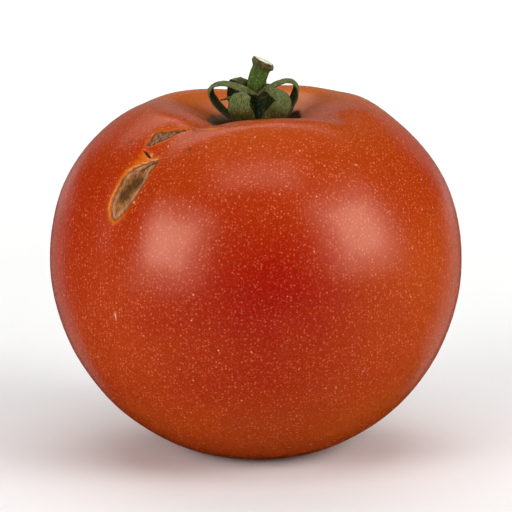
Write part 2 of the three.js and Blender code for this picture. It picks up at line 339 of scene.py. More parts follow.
# ------------------------------------------------------------------- fruit
MERIDIAN = np.array([
    (-5.0, 70.2), (0.0, 70.2), (5.0, 70.2), (10.0, 71.4), (15.5, 74.2),
    (20.95, 75.35), (25.2, 74.4), (34.45, 67.25), (42.3, 56.1),
    (45.0, 38.8), (39.95, 20.6), (28.3, 6.5),
    (15.5, 0.0), (10.0, 0.0), (5.0, 0.0), (0.0, 0.0), (-5.0, 0.0)])
T_FLAT = 12.0
FURROWS = [
    (236.0, 0.0, -11.0, 2.1, 1.15, 3.2, 6.6, 8.9),
    (323.0, -15.0, 4.0, 1.25, 0.35, 3.4, 4.9, 6.6),
    (42.0, 6.0, 0.0, 0.95, 0.40, 4.0, 5.2, 7.6),
    (102.0, 0.0, 4.0, 0.70, 0.30, 4.0, 5.0, 7.4),
    (163.0, -4.0, 5.0, 1.00, 0.50, 3.8, 5.4, 7.8),
]
CROWN_TILT = -0.10
LEAN = [(-0.27, 5.9, 1.0), (0.12, 7.9, 1.1), (0.31, 9.9, 0.9)]
BACK_SWELL = (1.05, 47.0, 0.42, 4.4, 1.2)


def meridian(t):
    i = np.clip(np.floor(t).astype(int), 0, len(MERIDIAN) - 4)
    u = (t - i)[..., None]
    b = [(1 - u) ** 3 / 6, (3 * u ** 3 - 6 * u * u + 4) / 6, (-3 * u ** 3 + 3 * u * u + 3 * u + 1) / 6, u ** 3 / 6]
    d = [-(1 - u) ** 2 / 2, (9 * u * u - 12 * u) / 6, (-9 * u * u + 6 * u + 3) / 6, u * u / 2]
    P = sum(b[k] * MERIDIAN[i + k] for k in range(4))
    T = sum(d[k] * MERIDIAN[i + k] for k in range(4))
    n = np.hypot(T[..., 0], T[..., 1])
    return P[..., 0], P[..., 1], -T[..., 1] / n, T[..., 0] / n


def furrow_line(k, t):
    a0, b1, b2 = FURROWS[k][:3]
    return np.radians(a0 + b1 * (1 - sst(1.6, 3.4, t)) + b2 * sst(4.2, 7.2, t))


def swell(a, t, r):
    h = np.zeros(np.broadcast(a, t).shape)
    inner = sst(0.6, 2.6, t)
    for k, (a0, b1, b2, d1, d2, w, f0, f1) in enumerate(FURROWS):
        d = wrap(a - furrow_line(k, t))
        depth = (d1 + (d2 - d1) * sst(4.0, 5.6, t)) * inner * (1 - sst(f0, f1, t))
        x = d * np.maximum(r, 6)
        wide = w * (1 + 0.10 * np.clip(t - 4, 0, 9))
        h = h - depth * (0.72 * bell(x / wide) + 0.28 * bell(d / 0.36))
    side = sst(3.0, 6.5, t) * (1 - sst(9.5, 11.2, t))
    h = h + side * (0.21 * np.cos(4 * (a - rad(279))) + 0.25 * np.cos(2 * (a - rad(200)))
                    + 0.22 * np.cos(3 * (a - rad(30))))
    for amount, place, spread in LEAN:
        h = h + amount * np.cos(a) * bell((t - place) / spread)
    h = h + BACK_SWELL[0] * bell(wrap(a - rad(BACK_SWELL[1])) / BACK_SWELL[2]) * bell((t - BACK_SWELL[3]) / BACK_SWELL[4])
    return h * (1 - sst(11.2, T_FLAT, t))


# outlines on the skin as (angle in degrees, meridian parameter)
SCAR1 = [(231.25, 5.854), (231.37, 5.925), (231.12, 5.995), (230.75, 6.058), (230.38, 6.128), (230.38, 6.219), (230.25, 6.296), (230.0, 6.373), (229.88, 6.443), (229.38, 6.499), (229.0, 6.562), (228.5, 6.618), (227.75, 6.688), (227.38, 6.744), (226.62, 6.807), (226.0, 6.863), (225.13, 6.912), (224.12, 6.954), (223.38, 6.982), (222.62, 6.961), (222.0, 6.926), (221.38, 6.87), (220.75, 6.814), (220.5, 6.73), (220.38, 6.667), (220.5, 6.59), (220.62, 6.52), (220.75, 6.429), (220.88, 6.338), (221.25, 6.261), (221.75, 6.191), (222.5, 6.142), (223.38, 6.086), (224.38, 6.044), (225.5, 5.995), (226.88, 5.953), (228.12, 5.904), (229.75, 5.875)]
SCAR2 = [(222.0, 5.609), (221.88, 5.539), (221.75, 5.462), (221.25, 5.392), (221.12, 5.329), (221.5, 5.266), (222.5, 5.21), (223.88, 5.168), (225.62, 5.168), (226.75, 5.126), (227.75, 5.063), (229.12, 4.979), (230.5, 4.902), (231.88, 4.804), (234.25, 4.79), (233.62, 4.888), (231.88, 4.986), (230.62, 5.105), (229.88, 5.217), (228.75, 5.301), (227.38, 5.357), (226.38, 5.434), (225.5, 5.497), (224.25, 5.553), (223.25, 5.602)]
SCAR3 = [(222.25, 5.728), (223.0, 5.721), (224.12, 5.742), (225.62, 5.777), (227.0, 5.805), (227.5, 5.826), (226.88, 5.854), (225.75, 5.833), (224.5, 5.798), (223.25, 5.763)]
HEART = [(228.0, 6.32), (226.12, 6.373), (225.25, 6.45), (224.38, 6.541), (223.3, 6.59)]
FISSURE = [(226.4, 6.10), (227.5, 6.03), (228.38, 5.974), (229.75, 5.925), (231.0, 5.88)]
DOTS2 = [(230.25, 4.979), (232.62, 4.832)]
PALE3 = [(227.0, 5.77), (227.25, 5.812), (226.62, 5.861)]
GLOW = [(223.88, 6.016), (225.13, 5.967), (226.0, 5.882), (224.5, 5.826)]
RED_SPOT = [(223.0, 5.679), (222.12, 5.756), (224.25, 5.665)]
FRECKLES = [(180.5, 3.557, 0.35), (213.62, 5.651, 0.38), (204.88, 5.441, 0.28), (243.62, 5.588, 0.42),
            (353.75, 2.892, 0.3), (334.88, 3.298, 0.35), (353.75, 4.692, 0.22), (355.38, 5.126, 0.22),
            (62.0, 6.1, 0.35), (118.0, 7.4, 0.3), (20.0, 8.8, 0.3), (300.0, 9.6, 0.25)]
NICKS = [(308.0, 5.967, 0.16), (229.25, 6.66, 0.22), (226.62, 8.012, 0.20), (227.38, 8.173, 0.16),
         (150.0, 7.6, 0.18), (78.0, 8.3, 0.2)]

_tt = np.linspace(0, T_FLAT, 4001)
_mr, _mz, _, _ = meridian(_tt)
_arc = np.concatenate([[0], np.cumsum(np.hypot(np.diff(_mr), np.diff(_mz)))])


def flat_map(a, t):
    """Millimetres on the unrolled skin around the scars."""
    return np.interp(t, _tt, _mr) * wrap(a - rad(227.0)), np.interp(t, _tt, _arc)


def flat_points(pts):
    p = np.array([q[:2] for q in pts], float)
    return np.stack(flat_map(np.radians(p[:, 0]), p[:, 1]), 1)


def distance_to_line(U, V, pts, closed=False):
    P = flat_points(pts)
    best = np.full(U.shape, 1e9)
    along = np.zeros(U.shape)
    n = len(P)
    done = 0.0
    for i in range(n if closed else n - 1):
        a, b = P[i], P[(i + 1) % n]
        d = b - a
        L = max(1e-9, float(d @ d))
        s = np.clip(((U - a[0]) * d[0] + (V - a[1]) * d[1]) / L, 0, 1)
        q = np.hypot(U - a[0] - s * d[0], V - a[1] - s * d[1])
        near = q < best
        best = np.where(near, q, best)
        along = np.where(near, done + s * math.sqrt(L), along)
        done += math.sqrt(L)
    return best, along


def inside(U, V, pts):
    P = flat_points(pts)
    odd = np.zeros(U.shape, bool)
    n = len(P)
    for i in range(n):
        (x0, y0), (x1, y1) = P[i], P[(i + 1) % n]
        cross = ((y0 > V) != (y1 > V)) & (U < (x1 - x0) * (V - y0) / (y1 - y0 + 1e-12) + x0)
        odd ^= cross
    return odd


def signed(U, V, pts):
    d, _ = distance_to_line(U, V, pts, closed=True)
    return np.where(inside(U, V, pts), -d, d)


def spread(lo, hi, count, density):
    """count places from lo to hi, closer together where density is high."""
    x = np.linspace(lo, hi, 8001)
    c = np.concatenate([[0], np.cumsum(0.5 * (density(x)[1:] + density(x)[:-1]))])
    return np.interp(np.linspace(0, c[-1], count), c, x)


def make_fruit():
    cols, rows = 384, 252
    dense = lambda a: 0.85 + 4.0 * sst(14, 8, np.abs(np.degrees(wrap(a - rad(226.5)))) ) + 0.9 * bell(wrap(a - rad(250)) / 0.5)
    ang = spread(0, 2 * np.pi, cols + 1, dense)[:-1]
    speed = np.gradient(_arc, _tt)
    dens_t = lambda t: np.interp(t, _tt, speed) * (0.62 + 0.9 * sst(5.0, 4.2, t) * sst(1.5, 2.6, t)
                                                   + 3.1 * sst(4.55, 4.85, t) * sst(7.3, 7.0, t))
    t = spread(0, T_FLAT, rows + 1, dens_t)[1:]
    A, T = np.meshgrid(ang, t)
    r, z, nr, nz = meridian(T)
    h = swell(A, T, r)
    for k in (2, 4):
        w = wrap(A - furrow_line(k, T))
        h = h + (0.40 if k == 2 else 0.45) * FURROWS[k][3] * sst(0.6, 2.6, T) * sst(5.4, 3.6, T) * 0.72 * bell(w * np.maximum(r, 6) / FURROWS[k][5])
    base = np.stack([r * np.cos(A), r * np.sin(A), z], -1)

    U, V = flat_map(A, T)
    near = (np.abs(U) < 22) & (T > 4.2) & (T < 7.8)
    wob = 0.16 * noise(base, 1.1, 5) + 0.10 * noise(base, 0.45, 6)
    big = np.where(near, 0.0, 99.0)
    s1 = signed(U, V, SCAR1) + wob * 0.8 + big
    s2 = signed(U, V, SCAR2) + wob * 0.9 + big
    s3 = signed(U, V, SCAR3) + wob * 0.4 + big
    heart_d, _ = distance_to_line(U, V, HEART)
    fiss_d, fiss_s = distance_to_line(U, V, FISSURE)
    along1 = (V - flat_points([SCAR1[0]])[0, 1])

    scar1 = sst(0.16, -0.12, s1)
    scar2 = sst(0.16, -0.10, s2)
    scar3 = sst(0.12, -0.08, s3)
    line1 = bell((s1 + 0.02) / 0.17) * (0.78 + 0.3 * noise(base, 1.6, 8))
    line2 = bell((s2 + 0.02) / 0.16) * (0.62 + 0.55 * noise(base, 1.0, 9))
    fiss = bell(fiss_d / 0.24) * scar1
    heart = bell((heart_d + 0.35 * noise(base, 0.9, 10)) / 1.25) * scar1
    dots2 = np.zeros_like(A)
    for (p, w) in zip(DOTS2, (0.42, 0.3)):
        q = flat_points([p])[0]
        dots2 = np.maximum(dots2, bell(np.hypot((U - q[0]) * 0.9, V - q[1]) / w * 1.2) * (big < 1))
    pale3 = bell(distance_to_line(U, V, PALE3)[0] / 0.26) * (big < 1)
    glow = bell(distance_to_line(U, V, GLOW)[0] / 0.95) * (big < 1)
    redspot = bell(distance_to_line(U, V, RED_SPOT)[0] / 1.2) * (big < 1)

    # side of the scar that is ringed with orange: its upper left edge and foot
    q = flat_points(SCAR1)
    mid = np.interp(V, [q[:, 1].min(), q[:, 1].max()], [q[0, 0], q[18, 0]])
    left = sst(0.8, -1.2, U - mid)
    foot = sst(q[:, 1].max() - 3.0, q[:, 1].max(), V)
    halo = bell(np.maximum(s1, 0) / 0.62) * (s1 > -0.4) * np.clip(0.25 + 0.75 * left + 0.6 * foot, 0, 1) * (big < 1)
    halo = np.maximum(halo * 0.72, glow * 0.58)
    halo = np.maximum(halo, 0.30 * bell(np.maximum(s2, 0) / 0.5) * (s2 > -0.3) * (big < 1))
    halo = np.maximum(halo, 0.35 * bell(np.maximum(s3, 0) / 0.45) * (s3 > -0.3) * (big < 1))
    halo = np.maximum(halo, 0.8 * bell(wrap(A - rad(247.5)) * r / 1.5) * bell((T - 4.72) / 0.11))

    line = np.clip(line1 * 0.8, 0, 1)
    line = np.maximum(line, np.clip(line2, 0, 1) * 0.75)
    line = np.maximum(line, fiss * 0.95)
    line = np.maximum(line, np.clip(dots2, 0, 1) * 0.95)
    line = np.maximum(line, scar3 * 0.92 * (1 - 0.9 * pale3))

    # hollow floor and the brown folds that run into it beside the calyx: brown skin, darkened further as painted shade
    # of the crevices
    f0 = wrap(A - furrow_line(0, T)) * np.maximum(r, 4)
    f1 = wrap(A - furrow_line(1, T)) * np.maximum(r, 4)
    rough_edge = 0.5 * noise(base, 1.5, 21)
    reach = 0.42 * bell(wrap(A - rad(40)) / 0.22) + 0.22 * bell(wrap(A - rad(150)) / 0.25) + 0.25 * bell(f0 / 2.0) + 0.15 * bell(f1 / 2.0)
    edge_t = 1.92 + reach + 0.16 * rough_edge
    brown_fold_and_painted_shade = sst(edge_t + 0.10, edge_t - 0.12, T)
    streak = bell((T - edge_t + 0.16) / 0.10) * sst(0.2, 0.9, 0.5 + 0.5 * np.cos(A - rad(170))) * (0.7 + 0.6 * noise(base, 0.9, 23))
    crease = bell(f0 / 0.8) * sst(4.6, 3.9, T) * sst(1.4, 2.2, T)
    crease2 = bell(f1 / 0.8) * sst(3.6, 3.0, T) * sst(1.4, 2.2, T)
    pocket = bell((T - 1.62) / 0.36) * (0.35 + 0.9 * bell(wrap(A - rad(158)) / 0.5) + 0.9 * bell(wrap(A - rad(36)) / 0.4))

    # relief
    cork_relief = 0.10 * noise(np.stack([U * 2.2, V * 0.7, 0 * U], -1), 1.0, 31) + 0.05 * noise(base, 0.5, 32)
    h = h + scar1 * (-0.10 + cork_relief + 0.05 * np.clip(-s1, 0, 2)) - 0.22 * bell((s1 + 0.02) / 0.2)
    h = h + 0.05 * bell((s1 - 0.45) / 0.35) * (big < 1)
    h = h - 0.42 * fiss - 0.20 * heart
    h = h + scar2 * (-0.16 + cork_relief * 1.3) - 0.18 * bell(s2 / 0.2) - 0.45 * dots2
    h = h - 0.55 * scar3 + 0.16 * pale3
    h = h - 0.55 * crease - 0.4 * crease2 - 0.75 * pocket
    h = h - 0.55 * bell(wrap(A - rad(247)) * np.maximum(r, 4) / 2.6) * bell((T - 4.3) / 0.5)
    h = h - 0.38 * bell(wrap(A - rad(259)) * np.maximum(r, 4) / 3.4) * bell((T - 4.2) / 0.5)
    quiet = 1 - sst(11.0, T_FLAT, T)
    h = h + quiet * (0.16 * fbm(base, 16.0, 41, 2) + 0.035 * noise(base, 5.0, 43))

    # freckles and nicks
    freckle = np.zeros_like(A)
    nick = np.zeros_like(A)
    for group, target in ((FRECKLES, freckle), (NICKS, nick)):
        for a0, t0, w in group:
            r0, z0 = np.interp(t0, _tt, _mr), np.interp(t0, _tt, _arc)
            du = r0 * wrap(A - rad(a0))
            dv = np.interp(T, _tt, _arc) - z0
            stretch = 1.0 if target is freckle else 1.6
            np.maximum(target, bell(np.hypot(du, dv * stretch) / w), out=target)
    freckle *= 0.8
    nick *= 0.85
    h = h - 0.05 * freckle

    rr = np.maximum(0, r + nr * h)
    X = rr * np.cos(A)
    Y = rr * np.sin(A)
    Z = z + nz * h + CROWN_TILT * sst(30, 75, z + nz * h) * X / 22
    Z = np.where(T >= T_FLAT - 1e-9, 0.0, np.maximum(Z, 0.0))
    # small blossom scar under the fruit
    P = np.stack([X, Y, Z], -1)

    # colour: deep red bellies of the lobes, orange crown, furrows and foot
    ripe = np.zeros_like(A)
    for a0, z0, wa, wz, amount in ((271.6, 44.5, 0.33, 11.5, 1.0), (272, 28, 0.34, 9.0, 0.40), (209, 58, 0.28, 12, 0.42), (32, 40, 0.34, 12, 0.6),
                                   (88, 36, 0.30, 11, 0.75), (146, 44, 0.30, 10, 0.6)):
        ripe = np.maximum(ripe, amount * bell(wrap(A - rad(a0)) / wa) * bell((P[..., 2] - z0) / wz))
    ripe = np.clip(0.06 + ripe + 0.10 * fbm(P, 22.0, 51, 2), 0, 1)
    orange = np.clip(0.90 * sst(6.5, 4.4, T) + 0.20 * sst(8.6, 6.2, T), 0, 1) * (0.85 + 0.25 * fbm(P, 9.0, 53, 2))
    flank = bell(wrap(A - rad(338)) / 0.42) * sst(66, 44, P[..., 2]) + 0.75 * sst(24, 8, P[..., 2])
    flank = np.maximum(flank, 0.30 * bell(wrap(A - rad(220)) / 0.38) * sst(50, 28, P[..., 2]))
    orange = np.maximum(orange, np.clip(0.85 * flank * (1 - 0.8 * ripe) + 0.15 * fbm(P, 12.0, 59, 2), 0, 1))
    # painted light: a lighter orange on the rear of the crown, standing in for the top and back light
    rear_painted_light = sst(-5.0, 12.0, Y) * sst(6.2, 4.6, T) * (0.75 + 0.3 * fbm(P, 7.0, 57, 2))
    bloom = sst(2.6, 1.4, np.hypot(X, Y) + 0.5 * noise(P, 0.9, 55)) * (T > 11)
    bottom_scar = bloom
    freckle = np.maximum(freckle, bottom_scar * 0.8)

    n = rows * cols
    ring = P.reshape(-1, 3)
    top = np.array([[0, 0, float(Z[0].mean())]])
    verts = np.concatenate([ring, top, [[0, 0, 0]]])
    j = np.arange(cols)
    k = (j + 1) % cols
    quads = []
    for i in range(rows - 1):
        a = i * cols
        quads.append(np.stack([a + j, a + cols + j, a + cols + k, a + k], 1))
    quads = np.concatenate(quads)
    l = (rows - 1) * cols
    faces = [q for q in quads] + [np.array([n, j0, k0]) for j0, k0 in zip(j, k)] + [np.array([n + 1, l + k0, l + j0]) for j0, k0 in zip(j, k)]
    # unrolled map: around and down
    arc = np.interp(t, _tt, _arc)
    vv = 0.985 - 0.97 * (arc / arc[-1])
    uu = np.arange(cols + 1) / cols
    uvs = []
    for i in range(rows - 1):
        uvs.append(np.stack([np.stack([uu[:-1], np.full(cols, vv[i])], 1), np.stack([uu[:-1], np.full(cols, vv[i + 1])], 1),
                             np.stack([uu[1:], np.full(cols, vv[i + 1])], 1), np.stack([uu[1:], np.full(cols, vv[i])], 1)], 1))
    uvq = np.concatenate(uvs).reshape(-1, 2)
    mid_u = 0.5 * (uu[:-1] + uu[1:])
    uvt = np.stack([np.stack([mid_u, np.full(cols, 0.998)], 1), np.stack([uu[:-1], np.full(cols, vv[0])], 1), np.stack([uu[1:], np.full(cols, vv[0])], 1)], 1).reshape(-1, 2)
    uvb = np.stack([np.stack([mid_u, np.full(cols, 0.002)], 1), np.stack([uu[1:], np.full(cols, vv[-1])], 1), np.stack([uu[:-1], np.full(cols, vv[-1])], 1)], 1).reshape(-1, 2)

    def full(x, at_top=0.0, at_bottom=0.0):
        return np.concatenate([np.clip(x, 0, 1).ravel(), [at_top, at_bottom]])

    grain = np.stack([U, V, 0 * U], -1).reshape(-1, 3)
    grain = np.concatenate([grain, [[0, 0, 0], [0, 0, 0]]])
    pink = np.clip(bell((s1 + 0.55) / 0.28) * scar1 * (0.5 + 0.6 * noise(base, 1.7, 61)), 0, 1) * 0.7
    attrs = {
        "ripe": full(ripe), "orange": full(orange, 1.0, 0.3), "rear_painted_light": full(rear_painted_light, 0.5), "halo": full(halo), "red": full(redspot * 0.9),
        "scar": full(np.maximum(np.maximum(scar1, scar2), pale3 * 0.9)), "heart": full(heart * 1.1),
        "grey": full(scar2 * 0.85), "pink": full(np.maximum(pink, pale3)), "line": full(line), "brown_fold_and_painted_shade": full(brown_fold_and_painted_shade, 1.0),
        "streak": full(streak * 0.8), "freckle": full(freckle, 0, 1.0), "nick": full(nick), "grain": grain,
    }
    return build("tomato_fruit", verts, faces, attrs, np.concatenate([uvq, uvt, uvb]),
                 stands_for=("fruit",), material=skin_material())


# ------------------------------------------------------------------- calyx


def catmull(rows, steps):
    rows = np.asarray(rows, float)
    last = len(rows) - 1
    out = []
    for i in range(last):
        p0, p1, p2, p3 = rows[max(0, i - 1)], rows[i], rows[i + 1], rows[min(last, i + 2)]
        n = steps + 1 if i == last - 1 else steps
        for q in range(n):
            u = q / steps
            out.append(0.5 * (2 * p1 + (p2 - p0) * u + (2 * p0 - 5 * p1 + 4 * p2 - p3) * u * u + (3 * p1 - p0 - 3 * p2 + p3) * u ** 3))
    return np.array(out)


SEPALS = {
    "sepal_left": [
        (-1.60, 0.05, 71.35, 0, -1, 0, 2.2),
        (-2.52, 0.10, 71.15, 0, -1, 0, 2.5),
        (-4.20, 0.35, 71.10, -0.12, -1, 0, 3.2),
        (-5.24, 0.75, 71.52, -0.22, -0.95, 0.05, 3.7),
        (-6.61, 1.00, 72.51, -0.32, -0.9, 0.06, 3.9),
        (-7.80, 1.15, 73.55, -0.4, -0.88, 0.1, 3.8),
        (-8.86, 1.05, 74.67, -0.4, -0.88, 0.12, 3.6),
        (-9.58, 0.75, 75.99, -0.3, -0.92, 0.1, 3.4),
        (-9.74, 0.45, 77.12, -0.2, -0.95, 0.05, 3.3),
        (-9.42, 0.10, 78.10, -0.1, -0.98, 0.02, 3.2),
        (-8.64, -0.35, 78.95, -0.02, -1, 0.06, 3.1),
        (-7.64, -0.85, 79.44, 0.05, -0.98, 0.05, 3),
        (-6.49, -1.35, 79.57, 0.08, -0.97, -0.02, 2.8),
        (-5.28, -1.85, 79.37, 0.1, -0.94, -0.16, 2.6),
        (-4.07, -2.30, 79.06, 0.1, -0.85, -0.32, 2.5),
        (-2.84, -2.70, 78.70, 0.12, -0.78, -0.42, 2.3),
        (-1.63, -3.05, 78.22, 0.12, -0.76, -0.45, 2),
        (-0.57, -3.30, 77.72, 0.12, -0.76, -0.45, 1.5),
        (0.21, -3.40, 77.33, 0.12, -0.76, -0.45, 0.8),
        (0.64, -3.40, 77.10, 0.12, -0.76, -0.45, 0.2),
    ],
    "sepal_front_left": [
        (-0.65, -1.45, 71.35, 0.914, -0.407, 0, 2.2),
        (-1.05, -2.30, 71.15, 0.914, -0.407, 0, 2.6),
        (-1.75, -3.90, 71.10, 0.914, -0.407, 0, 4.3),
        (-2.45, -5.40, 71.45, 0.914, -0.407, 0, 5.6),
        (-2.95, -6.50, 72.78, 0.95, -0.28, -0.12, 5.7),
        (-3.29, -7.00, 74.09, 0.96, -0.26, -0.08, 5.15),
        (-3.52, -7.10, 75.18, 0.97, -0.22, -0.02, 4.7),
        (-3.44, -7.00, 76.06, 0.97, -0.2, 0, 4.45),
        (-3.16, -6.70, 76.86, 0.96, -0.2, -0.04, 4.15),
        (-2.78, -6.20, 77.40, 0.95, -0.2, -0.12, 3.8),
        (-2.51, -5.60, 77.64, 0.94, -0.22, -0.2, 3.3),
        (-2.45, -5.00, 77.58, 0.93, -0.22, -0.2, 2.7),
        (-2.66, -4.60, 77.34, 0.85, -0.3, 0, 2.1),
        (-3.19, -4.30, 76.95, 0.6, -0.4, 0.5, 1.5),
        (-4.15, -3.80, 76.56, 0.2, -0.6, 0.75, 1.1),
        (-5.21, -3.30, 76.35, 0.1, -0.75, 0.6, 0.85),
        (-6.27, -2.90, 76.15, 0.1, -0.75, 0.6, 0.6),
        (-7.42, -2.60, 75.89, 0.1, -0.75, 0.6, 0.12),
    ],
    "sepal_front_right": [
        (0.78, -1.40, 71.35, 0.866, 0.5, 0, 2.2),
        (1.25, -2.20, 71.15, 0.866, 0.5, 0, 2.5),
        (2.15, -3.75, 71.10, 0.866, 0.5, 0, 4),
        (3.20, -5.00, 71.45, 0.88, 0.45, 0, 4.9),
        (3.95, -6.00, 72.48, 0.9, 0.38, -0.15, 4.9),
        (4.73, -6.30, 73.69, 0.9, 0.36, -0.2, 4.7),
        (5.36, -6.30, 74.72, 0.89, 0.38, -0.2, 4.3),
        (5.81, -6.10, 75.75, 0.9, 0.4, -0.02, 3.75),
        (5.74, -5.80, 76.69, 0.86, 0.42, 0.25, 3.4),
        (5.15, -5.40, 77.39, 0.74, 0.42, 0.5, 3),
        (4.29, -4.90, 77.88, 0.62, 0.42, 0.62, 2.5),
        (3.47, -4.40, 78.29, 0.58, 0.42, 0.66, 2),
        (2.90, -3.90, 78.57, 0.6, 0.4, 0.6, 1.5),
        (2.54, -3.40, 78.28, 0.8, 0.3, 0.3, 1.2),
        (2.33, -3.15, 77.59, 0.8, 0.3, -0.1, 1),
        (1.87, -3.10, 76.98, 0.4, -0.1, -0.8, 0.95),
        (1.06, -3.10, 76.72, 0.1, -0.3, -0.95, 0.85),
        (0.38, -3.00, 76.66, 0.1, -0.3, -0.95, 0.6),
        (-0.15, -2.90, 76.63, 0.1, -0.3, -0.95, 0.15),
    ],
    "sepal_right": [
        (1.58, 0.40, 71.35, -0.25, 0.95, 0, 2.2),
        (2.48, 0.65, 71.15, -0.25, 0.95, 0, 2.5),
        (4.10, 1.05, 71.15, -0.25, 0.95, 0, 3.3),
        (5.80, 1.35, 71.75, -0.28, 0.95, 0, 3.9),
        (7.15, 1.50, 72.60, -0.3, 0.95, 0, 4),
        (7.89, 1.60, 74.33, -0.34, 0.93, 0, 3.9),
        (8.44, 1.70, 75.55, -0.34, 0.93, 0.02, 3.7),
        (8.80, 1.70, 76.76, -0.28, 0.95, 0.02, 3.5),
        (8.82, 1.65, 77.84, -0.16, 0.97, 0, 3.3),
        (8.45, 1.60, 78.80, -0.1, 0.98, -0.02, 3.15),
        (7.81, 1.50, 79.44, -0.04, 0.99, -0.04, 3),
        (6.90, 1.35, 79.75, 0, 0.99, -0.02, 2.9),
        (5.87, 1.10, 79.72, 0.03, 0.99, 0.02, 2.7),
        (4.85, 0.70, 79.36, 0.06, 0.98, 0.08, 2.5),
        (3.91, 0.10, 78.92, 0.1, 0.96, 0.15, 2.2),
        (3.14, -0.90, 78.61, 0.2, 0.9, 0.25, 1.8),
        (2.55, -2.10, 78.42, 0.35, 0.6, 0.65, 1.4),
        (1.70, -2.75, 78.04, 0.42, 0.15, 0.88, 1.15),
        (0.89, -3.00, 77.50, 0.45, 0.1, 0.88, 0.8),
        (0.36, -3.10, 77.13, 0.45, 0.1, 0.88, 0.2),
    ],
    "sepal_back_right": [
        (0.55, 1.50, 71.35, -0.94, 0.342, 0, 2.2),
        (0.85, 2.38, 71.15, -0.94, 0.342, 0, 2.5),
        (1.45, 3.95, 71.10, -0.94, 0.342, 0, 3.4),
        (2.00, 5.45, 71.75, -0.94, 0.342, 0, 4.3),
        (2.35, 6.30, 73.20, -0.94, 0.342, 0, 4.7),
        (2.50, 6.55, 75.00, -0.95, 0.3, 0, 4.6),
        (2.62, 6.10, 76.60, -0.96, 0.28, 0, 4.1),
        (2.70, 5.20, 77.75, -0.96, 0.28, 0, 3.3),
        (2.65, 4.15, 78.00, -0.96, 0.28, 0, 2.4),
        (2.50, 3.35, 77.40, -0.96, 0.28, 0, 1.3),
        (2.40, 3.15, 76.80, -0.96, 0.28, 0, 0.3),
    ],
    "sepal_back_left": [
        (-0.90, 1.32, 71.35, -0.83, -0.56, 0, 2.2),
        (-1.42, 2.08, 71.15, -0.83, -0.56, 0, 2.5),
        (-2.40, 3.40, 71.10, -0.83, -0.56, 0, 3.4),
        (-3.60, 4.70, 71.90, -0.84, -0.54, 0, 4.3),
        (-3.90, 5.35, 74.63, -0.88, -0.48, 0, 4.9),
        (-4.11, 5.50, 76.23, -0.9, -0.44, 0, 5.1),
        (-4.04, 5.35, 77.66, -0.91, -0.42, 0, 4.9),
        (-3.85, 4.85, 78.76, -0.92, -0.38, 0.06, 4.5),
        (-3.54, 4.15, 79.42, -0.93, -0.34, 0.1, 4),
        (-3.16, 3.45, 79.51, -0.93, -0.34, 0.1, 3.2),
        (-2.86, 3.00, 79.09, -0.93, -0.34, 0.1, 2),
        (-2.73, 2.85, 78.40, -0.93, -0.34, 0.1, 0.4),
    ],
}


